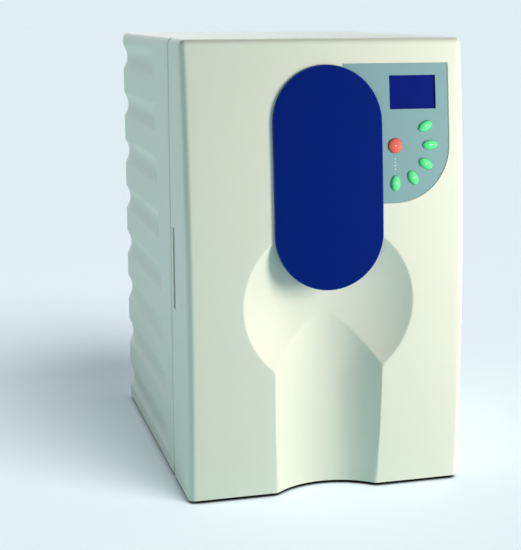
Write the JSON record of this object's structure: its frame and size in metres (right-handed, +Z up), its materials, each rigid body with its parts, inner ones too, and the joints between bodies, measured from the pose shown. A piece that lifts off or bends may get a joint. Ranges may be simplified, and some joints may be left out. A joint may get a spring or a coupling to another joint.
{
  "type": "laboratory reverse osmosis unit",
  "caption": "Benchtop water purifier: fluted cabinet, hinged bowed door with a dispense recess, long oval cover, display and push keys; membranes, filters, pump and tubing inside.",
  "frame": {"origin": "on the bench, under the middle of the cabinet's width and depth", "axes": "+Z up, the front with the door faces -Y, +X to the right of someone facing the front"},
  "size_m": [0.3415, 0.4564, 0.534],
  "materials": {
    "shell": "satin painted foam moulding",
    "cover_blue": "gloss deep blue",
    "panel_teal": "satin printed film",
    "display_blue": "clear gloss over blue glass",
    "key_red": "satin",
    "key_green": "satin",
    "sheet_steel": "bare sheet",
    "pin_steel": "ground bar",
    "rubber_black": "matt",
    "white_moulding": "semi-gloss",
    "grey_moulding": "satin",
    "black_moulding": "satin",
    "bowl_clear": "translucent blue",
    "bowl_white": "translucent white",
    "filter_media": "wound fibre",
    "tube_plastic": "semi-translucent",
    "motor_black": "satin",
    "circuit_green": "solder mask",
    "ribbon_grey": "flat cable"
  },
  "bodies": {
    "cabinet": {"cabinet_hood": "shell", "rear_panel": "sheet_steel", "panel_screws": "pin_steel", "base_tray": "sheet_steel", "rubber_feet": "rubber_black", "chassis_plate": "sheet_steel", "hinge_pins": "pin_steel", "catch_magnet": "black_moulding", "membrane_housing_1": "white_moulding", "membrane_housing_2": "white_moulding", "membrane_cap_1": "grey_moulding", "membrane_cap_2": "grey_moulding", "membrane_elements": "filter_media", "module_clips": "grey_moulding", "carbon_head": "grey_moulding", "carbon_bowl": "bowl_clear", "polish_head": "grey_moulding", "polish_bowl": "bowl_white", "filter_cartridges": "filter_media", "pump_motor": "motor_black", "pump_head": "grey_moulding", "pump_foot": "sheet_steel", "inlet_valve": "grey_moulding", "flush_valve": "grey_moulding", "conductivity_cell": "black_moulding", "power_supply": "sheet_steel", "control_board": "circuit_green", "board_standoffs": "pin_steel", "control_ribbon": "ribbon_grey", "feed_tubes": "tube_plastic", "pump_in_tube": "tube_plastic", "pump_out_tube": "tube_plastic", "crossover_tube": "tube_plastic", "reject_tube": "tube_plastic", "permeate_tubes": "tube_plastic", "polisher_tube": "tube_plastic", "outlet_tubes": "tube_plastic", "dispense_hose": "tube_plastic", "power_inlet": "black_moulding", "rear_fittings": "white_moulding"},
    "door": {"front_door": "shell", "catch_strike": "pin_steel", "dispense_cover": "cover_blue", "dispense_nozzle": "white_moulding", "dispense_valve": "grey_moulding", "keypad_panel": "panel_teal", "display_lens": "display_blue", "display_module": "sheet_steel", "keypad_board": "circuit_green"},
    "red_key_body": {"red_key": "key_red"},
    "green_key_1_body": {"green_key_1": "key_green"},
    "green_key_2_body": {"green_key_2": "key_green"},
    "green_key_3_body": {"green_key_3": "key_green"},
    "green_key_4_body": {"green_key_4": "key_green"},
    "green_key_5_body": {"green_key_5": "key_green"},
    "feed_collet_body": {"feed_collet": "grey_moulding"},
    "drain_collet_body": {"drain_collet": "grey_moulding"},
    "product_collet_body": {"product_collet": "grey_moulding"},
    "rocker": {"switch_rocker": "key_red"}
  },
  "joints": [
    {"name": "door_hinge", "type": "hinge", "parent": "cabinet", "child": "door", "pos_m": [0.168, -0.123, 0.264], "axis": [0, 0, 1], "range_deg": [0, 110], "deforming": ["control_ribbon", "dispense_hose"]},
    {"name": "red_key_press", "type": "slide", "parent": "door", "child": "red_key_body", "axis": [0, 0.9946, -0.1036], "range_m": [0, 0.001], "stiffness_N_per_m": 400},
    {"name": "green_key_1_press", "type": "slide", "parent": "door", "child": "green_key_1_body", "axis": [0, 0.9946, -0.1036], "range_m": [0, 0.001], "stiffness_N_per_m": 400},
    {"name": "green_key_2_press", "type": "slide", "parent": "door", "child": "green_key_2_body", "axis": [0, 0.9946, -0.1036], "range_m": [0, 0.001], "stiffness_N_per_m": 400},
    {"name": "green_key_3_press", "type": "slide", "parent": "door", "child": "green_key_3_body", "axis": [0, 0.9946, -0.1036], "range_m": [0, 0.001], "stiffness_N_per_m": 400},
    {"name": "green_key_4_press", "type": "slide", "parent": "door", "child": "green_key_4_body", "axis": [0, 0.9946, -0.1036], "range_m": [0, 0.001], "stiffness_N_per_m": 400},
    {"name": "green_key_5_press", "type": "slide", "parent": "door", "child": "green_key_5_body", "axis": [0, 0.9946, -0.1036], "range_m": [0, 0.001], "stiffness_N_per_m": 400},
    {"name": "rocker_tip", "type": "hinge", "parent": "cabinet", "child": "rocker", "pos_m": [-0.07, 0.213, 0.409], "axis": [-1, 0, 0], "range_deg": [0, 16]},
    {"name": "feed_collet_push", "type": "slide", "parent": "cabinet", "child": "feed_collet_body", "axis": [0, -1, 0], "range_m": [0, 0.0012], "stiffness_N_per_m": 800},
    {"name": "drain_collet_push", "type": "slide", "parent": "cabinet", "child": "drain_collet_body", "axis": [0, -1, 0], "range_m": [0, 0.0012], "stiffness_N_per_m": 800},
    {"name": "product_collet_push", "type": "slide", "parent": "cabinet", "child": "product_collet_body", "axis": [0, -1, 0], "range_m": [0, 0.0012], "stiffness_N_per_m": 800}
  ]
}
